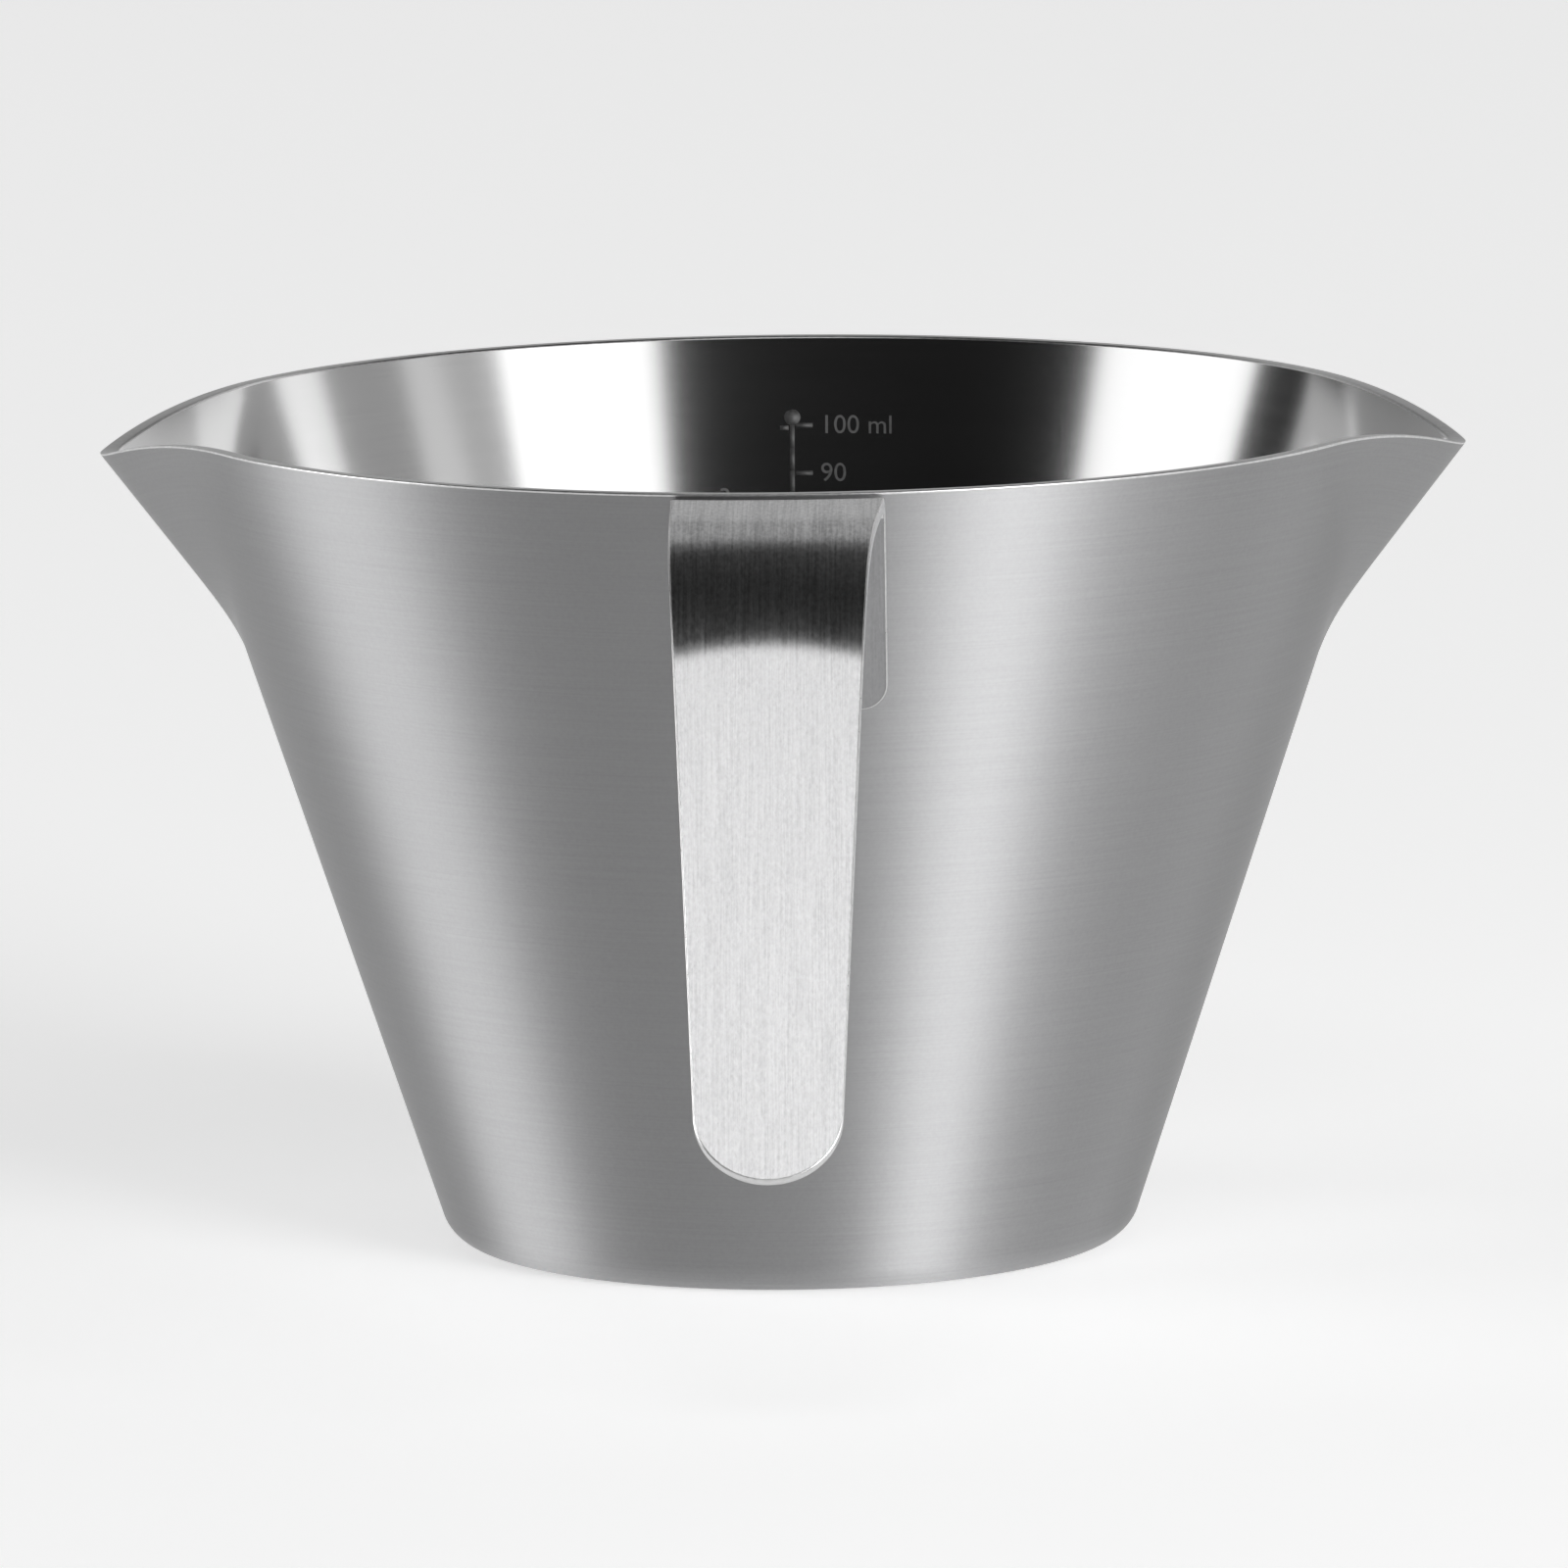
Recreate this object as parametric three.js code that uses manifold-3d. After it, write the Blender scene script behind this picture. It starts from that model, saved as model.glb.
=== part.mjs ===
// A small double-lipped measuring cup of sheet steel with one open strap handle.
// Millimetres. +Z is up, the handle reaches towards -Y and the two pouring lips point along -X and +X.
// The cup stands on z = 0 and its axis is the Z axis.
import * as THREE from 'three';
import { mergeVertices } from 'three/addons/utils/BufferGeometryUtils.js';
import Module from 'manifold-3d';

// ---- driving dimensions of the cup -------------------------------------------------------------
const CUP_HEIGHT = 49.5;            // height of the rim, away from the lips
const RIM_RADIUS = 36.5;            // outside
const WALL_ANGLE = rad(18.2);       // lean of the wall from the vertical
const SHEET = 0.8;                  // thickness of the wall and the floor
const BASE_CORNER = 2.4;            // outside radius between the floor and the wall

// ---- pouring lips ------------------------------------------------------------------------------
const LIP_ROOT_HEIGHT = 36.5;       // where the wall starts to bend out, on a lip's centre line
const LIP_ANGLE = rad(37.6);        // the lip's lean from the vertical on its centre line
const LIP_HALF_WIDTH = rad(28);     // half the stretch of rim that a lip takes up
const LIP_ROOT_SOFTNESS = 1.1;      // how gently the bend starts
const LIP_WIDENING = 0.6;           // power by which the pressed channel widens upwards
const LIP_NOSE = 0.13;              // 0 would be a sharp crease down the middle of the lip

// ---- handle: one bent strip, with a tab against the wall ---------------------------------------
const STRIP = 0.8;                  // thickness
const STRIP_WIDTH = 12.3;           // at the tab
const STRIP_TAPER = 0.086;          // width lost for each millimetre of strip beyond the fold
const TAB_GAP = 0.3;                // room between the wall and the tab
const TAB_LENGTH = 12.2;            // straight part of the tab
const TAB_CORNER = 1.6;
const TAB_OFFSET = 0.35;            // the tab sits this far to +X of the grip's middle line
const TAB_FADE = 12;                // length of strip, past the fold, that brings it back to the middle
const FOLD_DROP = 0.15;             // the fold's highest line lies this far below the rim
const FOLD_RADIUS = 1.15;           // to the middle of the sheet, as for the elbow
const RUN_SLOPE = rad(5);           // the outward run's fall below the horizontal
const RUN_LENGTH = 4.03;
const ELBOW_RADIUS = 12.7;          // on the strip's middle line
const ELBOW_CROWN = 2.0;            // the elbow's radius is this much larger at the strip's edges
const TAIL_LEAN = rad(30.5);        // the grip's lean from the vertical
const TAIL_LENGTH = 31.58;
const TAIL_END_LENGTH = 4.0;        // the free end is rounded off in half a circle
const TAIL_END_FLAT = 0.08;         // share of the width that stays straight at its very tip

// ---- spot welds through the tab ----------------------------------------------------------------
const WELD_RADIUS = 1.3;
const WELD_GAP = 0.3;               // room around a nugget
const WELD_DIMPLE = 0.15;           // how far its face sits below the tab's face
const WELD_SPREAD = 3.1;            // sideways distance from the middle of the tab
const WELD_ROWS = [3.8, 9.4];       // distances below the rim, along the wall

// ---- mesh resolution ---------------------------------------------------------------------------
const LIP_STEPS = 14;               // around half a lip
const PLAIN_STEPS = 12;             // around half the plain wall between two lips
const LIP_ROWS = 8;                 // up a lip
const CORNER_STEPS = 4;             // round the base corner
const STRIP_COLUMNS = 8;            // across the strip
const WELD_SIDES = 20;

// ---- worked out from the above -----------------------------------------------------------------
const FOOT_RADIUS = RIM_RADIUS - CUP_HEIGHT * Math.tan(WALL_ANGLE);   // the wall's line, at z = 0
const CORNER_CENTRE = FOOT_RADIUS + BASE_CORNER * (Math.tan(WALL_ANGLE) - 1 / Math.cos(WALL_ANGLE));
const RIM_SLANT = CUP_HEIGHT / Math.cos(WALL_ANGLE);                  // distances up the sloping wall
const ROOT_SLANT = LIP_ROOT_HEIGHT / Math.cos(WALL_ANGLE);
const PLAIN_SLANT = ROOT_SLANT - 6 * LIP_ROOT_SOFTNESS;               // below this the wall is a plain cone
const HALF_PI = Math.PI / 2;
const FOLD_TURN = HALF_PI - WALL_ANGLE + RUN_SLOPE;
const ELBOW_TURN = HALF_PI - TAIL_LEAN - RUN_SLOPE;
const ELBOW_START = FOLD_RADIUS * FOLD_TURN + RUN_LENGTH;             // along the strip, from the fold
const ELBOW_MARGIN = ELBOW_CROWN * Math.tan(ELBOW_TURN / 2);

const wasm = await Module();
wasm.setup();

function rad(degrees) {
  return degrees * Math.PI / 180;
}

function steel(roughness) {
  return new THREE.MeshStandardMaterial({ color: 0xb9bbbd, roughness, metalness: 1 });
}

// ---- the wall and its lips ---------------------------------------------------------------------

// A ramp that is 0 well below the lip's root and grows by 1 for each millimetre above it.
function lipRamp(slant) {
  return LIP_ROOT_SOFTNESS * Math.log(1 + Math.exp((slant - ROOT_SLANT) / LIP_ROOT_SOFTNESS));
}

function angleFromLip(angle) {
  const turned = Math.abs(Math.atan2(Math.sin(angle), Math.cos(angle)));
  return Math.min(turned, Math.PI - turned);
}

// How far the pressing moves the wall outwards: deepest on the lip's centre line, nothing beside it.
function lipDepth(angle, slant) {
  const ramp = lipRamp(slant);
  const halfWidth = LIP_HALF_WIDTH * Math.pow(ramp / lipRamp(RIM_SLANT), LIP_WIDENING);
  const across = Math.hypot(angleFromLip(angle) / halfWidth, LIP_NOSE);
  const share = across < 1 ? Math.pow((1 - across) / (1 - LIP_NOSE), 2) : 0;
  return (Math.sin(LIP_ANGLE) - Math.sin(WALL_ANGLE)) * ramp * share;
}

// A point of the wall's outside. Pressing doesn't stretch the sheet upwards, so where a lip leans
// out further it ends lower: the height is summed along the sheet in short steps.
function wallPoint(angle, slant) {
  const steps = 48;
  const start = Math.min(slant, PLAIN_SLANT);
  const radiusAt = (s) => FOOT_RADIUS + s * Math.sin(WALL_ANGLE) + lipDepth(angle, s);
  let height = start * Math.cos(WALL_ANGLE);
  let radius = radiusAt(start);
  const stride = (slant - start) / steps;
  for (let i = 1; i <= steps && stride > 0; i += 1) {
    const next = radiusAt(start + i * stride);
    height += Math.sqrt(stride * stride - (next - radius) * (next - radius));
    radius = next;
  }
  return new THREE.Vector3(radius * Math.cos(angle), radius * Math.sin(angle), height);
}

function wallNormal(angle, slant) {
  const nudge = 0.02;
  const turn = nudge / RIM_RADIUS;
  const around = wallPoint(angle + turn, slant).sub(wallPoint(angle - turn, slant));
  const up = wallPoint(angle, slant + nudge).sub(wallPoint(angle, slant - nudge));
  return around.cross(up).normalize();
}

// The inside of the wall at the same height as the outside point.
function innerWallPoint(angle, slant) {
  const normal = wallNormal(angle, slant);
  const flat = new THREE.Vector3(normal.x, normal.y, 0);
  return wallPoint(angle, slant).addScaledVector(flat, -SHEET / flat.lengthSq());
}

function cornerRing(angles, radius) {
  const rings = [];
  for (let i = 0; i <= CORNER_STEPS; i += 1) {
    const turn = -HALF_PI + (HALF_PI - WALL_ANGLE) * i / CORNER_STEPS;
    const r = CORNER_CENTRE + radius * Math.cos(turn);
    const z = BASE_CORNER + radius * Math.sin(turn);
    rings.push(angles.map((angle) => new THREE.Vector3(r * Math.cos(angle), r * Math.sin(angle), z)));
  }
  return rings;
}

// Angles around the cup, closer together where the lips are.
function ringAngles() {
  const angles = [];
  for (const axis of [0, Math.PI]) {
    for (let i = -LIP_STEPS; i < LIP_STEPS; i += 1) {
      angles.push(axis + LIP_HALF_WIDTH * i / LIP_STEPS);
    }
    const plain = Math.PI - 2 * LIP_HALF_WIDTH;
    for (let i = 0; i < 2 * PLAIN_STEPS; i += 1) {
      angles.push(axis + LIP_HALF_WIDTH + plain * i / (2 * PLAIN_STEPS));
    }
  }
  return angles;
}

// Rings of points, each joined to the next, with a fan to a middle point at both ends.
function ringSolid(rings, firstPoint, lastPoint) {
  const count = rings[0].length;
  const points = [firstPoint, ...rings.flat(), lastPoint];
  const faces = [];
  const at = (ring, i) => 1 + ring * count + (i % count);
  for (let i = 0; i < count; i += 1) {
    faces.push(0, at(0, i + 1), at(0, i));
    faces.push(points.length - 1, at(rings.length - 1, i), at(rings.length - 1, i + 1));
    for (let ring = 0; ring + 1 < rings.length; ring += 1) {
      faces.push(at(ring, i), at(ring, i + 1), at(ring + 1, i + 1));
      faces.push(at(ring, i), at(ring + 1, i + 1), at(ring + 1, i));
    }
  }
  return meshGeometry(points, faces);
}

function meshGeometry(points, faces) {
  const geometry = new THREE.BufferGeometry().setFromPoints(points);
  geometry.setIndex(faces);
  geometry.computeVertexNormals();
  return geometry;
}

function cupGeometry() {
  const angles = ringAngles();
  const slants = [PLAIN_SLANT];
  for (let i = 1; i <= LIP_ROWS; i += 1) {
    slants.push(PLAIN_SLANT + (RIM_SLANT - PLAIN_SLANT) * i / LIP_ROWS);
  }
  const outside = slants.map((slant) => angles.map((angle) => wallPoint(angle, slant)));
  const inside = slants.map((slant) => angles.map((angle) => innerWallPoint(angle, slant)));
  const rings = [
    ...cornerRing(angles, BASE_CORNER),
    ...outside,
    ...inside.reverse(),
    ...cornerRing(angles, BASE_CORNER - SHEET).reverse(),
  ];
  return ringSolid(rings, new THREE.Vector3(0, 0, 0), new THREE.Vector3(0, 0, SHEET));
}

// ---- the handle --------------------------------------------------------------------------------

// The strip's middle line in the plane x = 0, as stations with a distance from the fold, an outward
// distance, a height and a heading (the angle above the horizontal in which the strip runs).
function stripStations() {
  const tabHeading = HALF_PI - WALL_ANGLE;
  const sections = [
    { length: TAB_CORNER, turn: 0, steps: 4, eased: -1 },
    { length: TAB_LENGTH - TAB_CORNER, turn: 0, steps: 2 },
    { length: FOLD_RADIUS * FOLD_TURN, turn: FOLD_TURN, steps: 7 },
    { length: RUN_LENGTH - ELBOW_MARGIN, turn: 0, steps: 2 },
    { length: ELBOW_MARGIN, turn: 0, steps: 1 },
    { length: ELBOW_RADIUS * ELBOW_TURN, turn: ELBOW_TURN, steps: 8 },
    { length: ELBOW_MARGIN, turn: 0, steps: 1 },
    { length: TAIL_LENGTH - TAIL_END_LENGTH - ELBOW_MARGIN, turn: 0, steps: 3 },
    { length: TAIL_END_LENGTH, turn: 0, steps: 7, eased: 1 },
  ];
  let { out, height } = tabStart(tabHeading);
  let heading = tabHeading;
  let travelled = -TAB_LENGTH;
  const stations = [{ travelled, out, height, heading }];
  for (const section of sections) {
    let done = 0;
    for (let i = 1; i <= section.steps; i += 1) {
      const share = easedShare(i / section.steps, section.eased);
      const stride = section.length * (share - done);
      const turn = section.turn * (share - done);
      const chord = section.turn ? stride * Math.sin(turn / 2) / (turn / 2) : stride;
      out += chord * Math.cos(heading - turn / 2);
      height += chord * Math.sin(heading - turn / 2);
      heading -= turn;
      travelled += stride;
      done = share;
      stations.push({ travelled, out, height, heading });
    }
  }
  return stations;
}

// Even steps, or steps that shorten towards the start (-1) or the end (1) for a rounded corner.
function easedShare(share, eased) {
  if (eased === 1) {
    return Math.sin(share * HALF_PI);
  }
  return eased === -1 ? 1 - Math.cos(share * HALF_PI) : share;
}

// The tab's lower end, placed so that the fold's outer face comes up to FOLD_DROP below the rim.
function tabStart(heading) {
  const off = (TAB_GAP + STRIP / 2) / Math.cos(WALL_ANGLE);
  const foldRise = FOLD_RADIUS * (1 - Math.cos(heading)) + STRIP / 2;
  const foldStart = CUP_HEIGHT - FOLD_DROP - foldRise;
  const height = foldStart - TAB_LENGTH * Math.sin(heading);
  return { out: FOOT_RADIUS + height * Math.tan(WALL_ANGLE) + off, height };
}

function stripHalfWidth(station, last) {
  const full = (STRIP_WIDTH - STRIP_TAPER * Math.max(0, station.travelled)) / 2;
  const toTabEnd = station.travelled + TAB_LENGTH;
  if (toTabEnd < TAB_CORNER) {
    return full - TAB_CORNER + Math.sqrt(TAB_CORNER ** 2 - (TAB_CORNER - toTabEnd) ** 2);
  }
  const intoEnd = 1 - (last.travelled - station.travelled) / TAIL_END_LENGTH;
  if (intoEnd > 0) {
    return full * (TAIL_END_FLAT + (1 - TAIL_END_FLAT) * Math.sqrt(Math.max(0, 1 - intoEnd ** 2)));
  }
  return full;
}

// The station as it is at this distance across the strip. Away from the middle the elbow is softer,
// between the same run and tail.
function crowned(station, elbow, across) {
  const grow = ELBOW_CROWN * (2 * across / STRIP_WIDTH) ** 2;
  const reach = grow * Math.tan(ELBOW_TURN / 2);
  const share = (station.travelled - ELBOW_START + reach) / (ELBOW_RADIUS * ELBOW_TURN + 2 * reach);
  if (share <= 0 || share >= 1) {
    return station;
  }
  const radius = ELBOW_RADIUS + grow;
  const heading = -RUN_SLOPE - share * ELBOW_TURN;
  const startOut = elbow.out - reach * Math.cos(RUN_SLOPE);
  const startHeight = elbow.height + reach * Math.sin(RUN_SLOPE);
  return {
    travelled: station.travelled,
    out: startOut + radius * (Math.sin(-heading) - Math.sin(RUN_SLOPE)),
    height: startHeight - radius * (Math.cos(RUN_SLOPE) - Math.cos(heading)),
    heading,
  };
}

// The tab is rolled to the wall's curve and sits a little to one side. Both fade out past the fold.
function stripPoint(stations, row, column, side) {
  const last = stations[stations.length - 1];
  const elbow = stations.find((station) => station.travelled > ELBOW_START - 0.001);
  const across = stripHalfWidth(stations[row], last) * (2 * column / STRIP_COLUMNS - 1);
  const place = crowned(stations[row], elbow, across);
  const tabShare = 1 - THREE.MathUtils.smoothstep(place.travelled, 0, TAB_FADE);
  const x = across + TAB_OFFSET * tabShare;
  const wallCurve = tabShare * (place.out - Math.sqrt(place.out ** 2 - x ** 2));
  const out = place.out - wallCurve - side * (STRIP / 2) * Math.sin(place.heading);
  const height = place.height + side * (STRIP / 2) * Math.cos(place.heading);
  return new THREE.Vector3(x, -out, height);
}

// The sheet as a closed band: at each station a ring across its upper face and back along its lower.
function stripGeometry() {
  const stations = stripStations();
  const across = STRIP_COLUMNS + 1;
  const points = [];
  for (let row = 0; row < stations.length; row += 1) {
    for (let column = 0; column < across; column += 1) {
      points.push(stripPoint(stations, row, column, 1));
    }
    for (let column = across - 1; column >= 0; column -= 1) {
      points.push(stripPoint(stations, row, column, -1));
    }
  }
  const around = 2 * across;
  const at = (row, i) => row * around + (i % around);
  const faces = [];
  for (let row = 0; row + 1 < stations.length; row += 1) {
    for (let i = 0; i < around; i += 1) {
      faces.push(at(row, i), at(row + 1, i + 1), at(row, i + 1));
      faces.push(at(row, i), at(row + 1, i), at(row + 1, i + 1));
    }
  }
  const end = stations.length - 1;
  for (let i = 0; i < STRIP_COLUMNS; i += 1) {
    const below = around - 1 - i;
    faces.push(at(0, i), at(0, i + 1), at(0, below));
    faces.push(at(0, i + 1), at(0, below - 1), at(0, below));
    faces.push(at(end, i + 1), at(end, i), at(end, below));
    faces.push(at(end, below - 1), at(end, i + 1), at(end, below));
  }
  return meshGeometry(points, faces);
}

// ---- spot welds --------------------------------------------------------------------------------

// Where a nugget sits: the middle of its inner face, and the direction out of the wall.
function weldPlaces() {
  const places = [];
  for (const row of WELD_ROWS) {
    for (const side of [-1, 1]) {
      const slant = RIM_SLANT - row;
      const angle = -HALF_PI + (side * WELD_SPREAD + TAB_OFFSET) / RIM_RADIUS;
      const direction = wallNormal(angle, slant);
      places.push({ at: wallPoint(angle, slant).addScaledVector(direction, TAB_GAP), direction });
    }
  }
  return places;
}

// A round bar along the direction, from `start` to `end` millimetres beyond the place.
function weldBar(place, radius, start, end) {
  const bar = new THREE.CylinderGeometry(radius, radius, end - start, WELD_SIDES);
  bar.translate(0, (start + end) / 2, 0);
  const turn = new THREE.Quaternion().setFromUnitVectors(new THREE.Vector3(0, 1, 0), place.direction);
  bar.applyQuaternion(turn);
  return bar.translate(place.at.x, place.at.y, place.at.z);
}

function toSolid(geometry) {
  const bare = geometry.clone();
  bare.deleteAttribute('normal');
  bare.deleteAttribute('uv');
  const merged = mergeVertices(bare);
  return new wasm.Manifold(new wasm.Mesh({
    numProp: 3,
    vertProperties: merged.attributes.position.array,
    triVerts: new Uint32Array(merged.index.array),
  }));
}

function toGeometry(solid) {
  const mesh = solid.getMesh();
  const geometry = new THREE.BufferGeometry();
  geometry.setAttribute('position', new THREE.BufferAttribute(mesh.vertProperties, 3));
  geometry.setIndex(new THREE.BufferAttribute(mesh.triVerts, 1));
  geometry.computeVertexNormals();
  return geometry;
}

// The strip with a hole in its tab around each nugget.
function handleGeometry() {
  let strip = toSolid(stripGeometry());
  for (const place of weldPlaces()) {
    strip = strip.subtract(toSolid(weldBar(place, WELD_RADIUS + WELD_GAP, -1, STRIP + 1)));
  }
  return toGeometry(strip);
}

// ---- the object --------------------------------------------------------------------------------

function piece(name, geometry, material) {
  const mesh = new THREE.Mesh(geometry, material);
  mesh.name = name;
  return mesh;
}

const group = new THREE.Group();
group.add(piece('cup_body', cupGeometry(), steel(0.32)));
group.add(piece('handle_strap', handleGeometry(), steel(0.28)));
weldPlaces().forEach((place, i) => {
  const nugget = weldBar(place, WELD_RADIUS, 0, STRIP - WELD_DIMPLE);
  group.add(piece(`spot_weld_${i + 1}`, nugget, steel(0.45)));
});

export default group;
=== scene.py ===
import math

import bpy
import numpy as np
from mathutils import Matrix, Vector


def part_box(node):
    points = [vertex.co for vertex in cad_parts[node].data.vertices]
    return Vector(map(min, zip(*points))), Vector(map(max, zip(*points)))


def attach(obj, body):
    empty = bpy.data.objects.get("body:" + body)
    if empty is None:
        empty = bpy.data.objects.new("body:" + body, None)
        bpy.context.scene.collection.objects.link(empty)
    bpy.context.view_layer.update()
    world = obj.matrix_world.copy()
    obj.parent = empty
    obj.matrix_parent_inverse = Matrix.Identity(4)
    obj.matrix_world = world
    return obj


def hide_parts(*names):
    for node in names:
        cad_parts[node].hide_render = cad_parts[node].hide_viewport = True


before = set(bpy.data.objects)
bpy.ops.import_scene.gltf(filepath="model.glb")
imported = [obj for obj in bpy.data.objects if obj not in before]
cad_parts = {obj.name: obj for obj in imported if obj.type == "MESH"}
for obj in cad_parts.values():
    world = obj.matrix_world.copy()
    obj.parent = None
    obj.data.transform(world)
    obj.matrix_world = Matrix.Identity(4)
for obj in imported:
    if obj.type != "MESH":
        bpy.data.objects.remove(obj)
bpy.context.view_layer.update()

# A small double-lipped measuring cup of brushed steel sheet with an open strap handle.
# Metres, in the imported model's frame: the cup stands on z = 0, its handle reaches towards -Y and
# its pouring lips point along -X and +X.

CUP_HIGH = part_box("cup_body")[1]
MM = 0.001

# ---- driving dimensions of the cup ---------------------------------------------------------------
CUP_HEIGHT = CUP_HIGH.z
RIM_RADIUS = CUP_HIGH.y             # outside, away from the lips
WALL_ANGLE = math.radians(18.2)     # lean of the wall from the vertical
SHEET = 0.8 * MM
BASE_CORNER = 2.4 * MM              # outside radius between the floor and the wall
RIM_EDGE = 0.14 * MM                # rounding of the rim's two edges

# ---- pouring lips --------------------------------------------------------------------------------
LIP_ROOT_HEIGHT = 36.5 * MM         # where the wall starts to bend out, on a lip's centre line
LIP_ANGLE = math.radians(37.6)      # the lip's lean from the vertical on its centre line
LIP_HALF_WIDTH = math.radians(28)   # half the stretch of rim that a lip takes up
LIP_ROOT_SOFTNESS = 1.1 * MM        # how gently the bend starts
LIP_REACH = 6 * LIP_ROOT_SOFTNESS   # along the wall, from the root down to where the bend has faded out
LIP_WIDENING = 0.6                  # power by which the pressed channel widens upwards
LIP_NOSE = 0.13                     # 0 would be a sharp crease down the middle of the lip

# ---- handle --------------------------------------------------------------------------------------
STRIP = 0.8 * MM                    # thickness
STRIP_WIDTH = 12.3 * MM             # at the tab
STRIP_TAPER = 0.086                 # width lost per unit of length, from the tab to the free end
STRIP_EDGE = 0.10 * MM              # rounding along the strip's cut edges
TAB_GAP = 0.3 * MM                  # room between the wall and the tab
TAB_LENGTH = 12.2 * MM              # straight part of the tab
TAB_CORNER = 1.6 * MM
FOLD_DROP = 0.15 * MM               # the fold's highest line lies this far below the rim
FOLD_RADIUS = 1.15 * MM             # to the middle of the sheet, as for the elbow
RUN_SLOPE = math.radians(5)         # the outward run's fall below the horizontal
RUN_LENGTH = 4.03 * MM
ELBOW_RADIUS = 12.7 * MM            # on the strip's middle line
ELBOW_CROWN = 2.0 * MM              # the elbow's radius is this much larger at the strip's edges
TAIL_LEAN = math.radians(30.5)      # the grip's lean from the vertical
TAIL_LENGTH = 31.58 * MM
TAIL_END_LENGTH = 4.0 * MM          # the free end is rounded off in half a circle
TAB_OFFSET = 0.35 * MM              # the tab sits this far to +X of the grip's middle line
TAB_FADE = 12 * MM                  # length of strip, from the tab on, that brings it back to the middle

# ---- spot welds ----------------------------------------------------------------------------------
WELD_RADIUS = 1.3 * MM
WELD_SPREAD = 3.1 * MM              # sideways distance from the middle of the tab
WELD_ROWS = (3.8 * MM, 9.4 * MM)    # distances below the rim, along the wall
WELD_DEPTH = STRIP / 2              # how far a weld's face piece reaches into the tab
WELD_PROFILE = (                    # share of the radius, and height above the tab's face
    (0.0, -0.03 * MM), (0.45, -0.02 * MM), (0.75, 0.02 * MM),
    (0.88, 0.07 * MM), (0.96, 0.06 * MM), (1.0, -0.02 * MM),
)

# ---- engraved scale inside the far wall ----------------------------------------------------------
ENGRAVING_RISE = 0.012 * MM         # a mark's face above the wall, so that it doesn't sink into it
TICK_WIDTH = 0.28 * MM
TICK_START = 0.8 * TICK_WIDTH       # from the middle of the upright line, as for the tick's far end
TICK_ENDS = (1.25 * MM, 0.75 * MM)  # with a figure, and without one
FIGURE_START = 1.7 * MM
FIGURE_HEIGHT = 1.15 * MM
CAP_SHARE = 0.7                     # a capital's height as a share of the font's size
DOT_RADIUS = 0.5 * MM
FIGURE_SMOOTHNESS = 6               # points on each curve of a figure
ML_MARKS = (100, 90, 80, 70, 60, 50, 40, 30, 20)
ML_FIGURES = (100, 90, 80, 60, 40, 20)
ML_WITH_UNIT = 100
OZ_MARKS = (3.5, 3.0, 2.5, 2.0, 1.5, 1.0)
OZ_FIGURES = (3.0, 2.0, 1.0)
OZ_WITH_UNIT = 3.0
ML_PER_OZ = 28.41
CUBIC_METRES_PER_ML = 1e-6
LINE_TAIL = 2 * MM                  # the upright line runs on this far below its lowest mark
LINE_PIECES = 24                    # flat pieces that follow the wall
DOT_SIDES = 32
VOLUME_STEP = 0.02 * MM             # step in height when the volume is summed

# ---- mesh resolution -----------------------------------------------------------------------------
AROUND = 600                        # points around the cup
LIP_ROWS = 46
PLAIN_ROWS = 8
FINE_ROWS = 600                     # steps in which a lip's height is summed
CORNER_RINGS = 14                   # round the base corner
FLOOR_RINGS = 5
FLOOR_SPREAD = (0.1, 0.92)          # first and last floor ring, as shares of the flat floor's radius
RIM_EDGE_RINGS = 5                  # round each of the rim's edges
STRIP_COLUMNS = 24
STRIP_ROWS = 190                    # between the strip's rounded ends
TAB_CORNER_ROWS = 12
TIP_ROWS = 26
TIP_SWEEP = 0.985                   # share of a quarter turn that rounds the free end, up to its flat tip
STRIP_EDGE_LEVELS = 11              # round the strip's cut edge, from face to face
PATH_STEPS = (60, 40, 30, 80, 160)  # along the tab, the fold, the run, the elbow and the tail
WELD_SIDES = 48
EDGE_LOOP = 0.03 * MM               # a narrow row beside each rounded edge keeps the flat beyond it flat
EDGE_LOOP_MOST = 0.02               # its largest share of half the width, where the strip is narrow

FOOT_RADIUS = RIM_RADIUS - CUP_HEIGHT * math.tan(WALL_ANGLE)
CORNER_CENTRE = FOOT_RADIUS + BASE_CORNER * (math.tan(WALL_ANGLE) - 1 / math.cos(WALL_ANGLE))
RIM_SLANT = CUP_HEIGHT / math.cos(WALL_ANGLE)         # distances up the sloping wall
ROOT_SLANT = LIP_ROOT_HEIGHT / math.cos(WALL_ANGLE)
PLAIN_SLANT = ROOT_SLANT - LIP_REACH                  # below this the wall is a plain cone
WALL_START = 1.2 * BASE_CORNER                        # the wall's lowest row, just above the base corner
HALF_PI = math.pi / 2
FOLD_TURN = HALF_PI - WALL_ANGLE + RUN_SLOPE
ELBOW_TURN = HALF_PI - TAIL_LEAN - RUN_SLOPE
ELBOW_START = FOLD_RADIUS * FOLD_TURN + RUN_LENGTH   # along the strip, from the fold

# material slots of the cup and of the strap
OUTSIDE, INSIDE, RIM = range(3)
GRIP, TAB, CUT_EDGE = range(3)


def make_object(name, points, faces, materials, face_slots=None):
    """A smooth-shaded mesh object, linked to the scene."""
    mesh = bpy.data.meshes.new(name)
    mesh.from_pydata([tuple(p) for p in points], [], faces)
    for material in materials:
        mesh.materials.append(material)
    if face_slots is not None:
        mesh.polygons.foreach_set("material_index", face_slots)
    mesh.shade_smooth()
    mesh.update()
    piece = bpy.data.objects.new(name, mesh)
    bpy.context.scene.collection.objects.link(piece)
    return piece


# ---- the cup's wall ------------------------------------------------------------------------------

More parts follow.
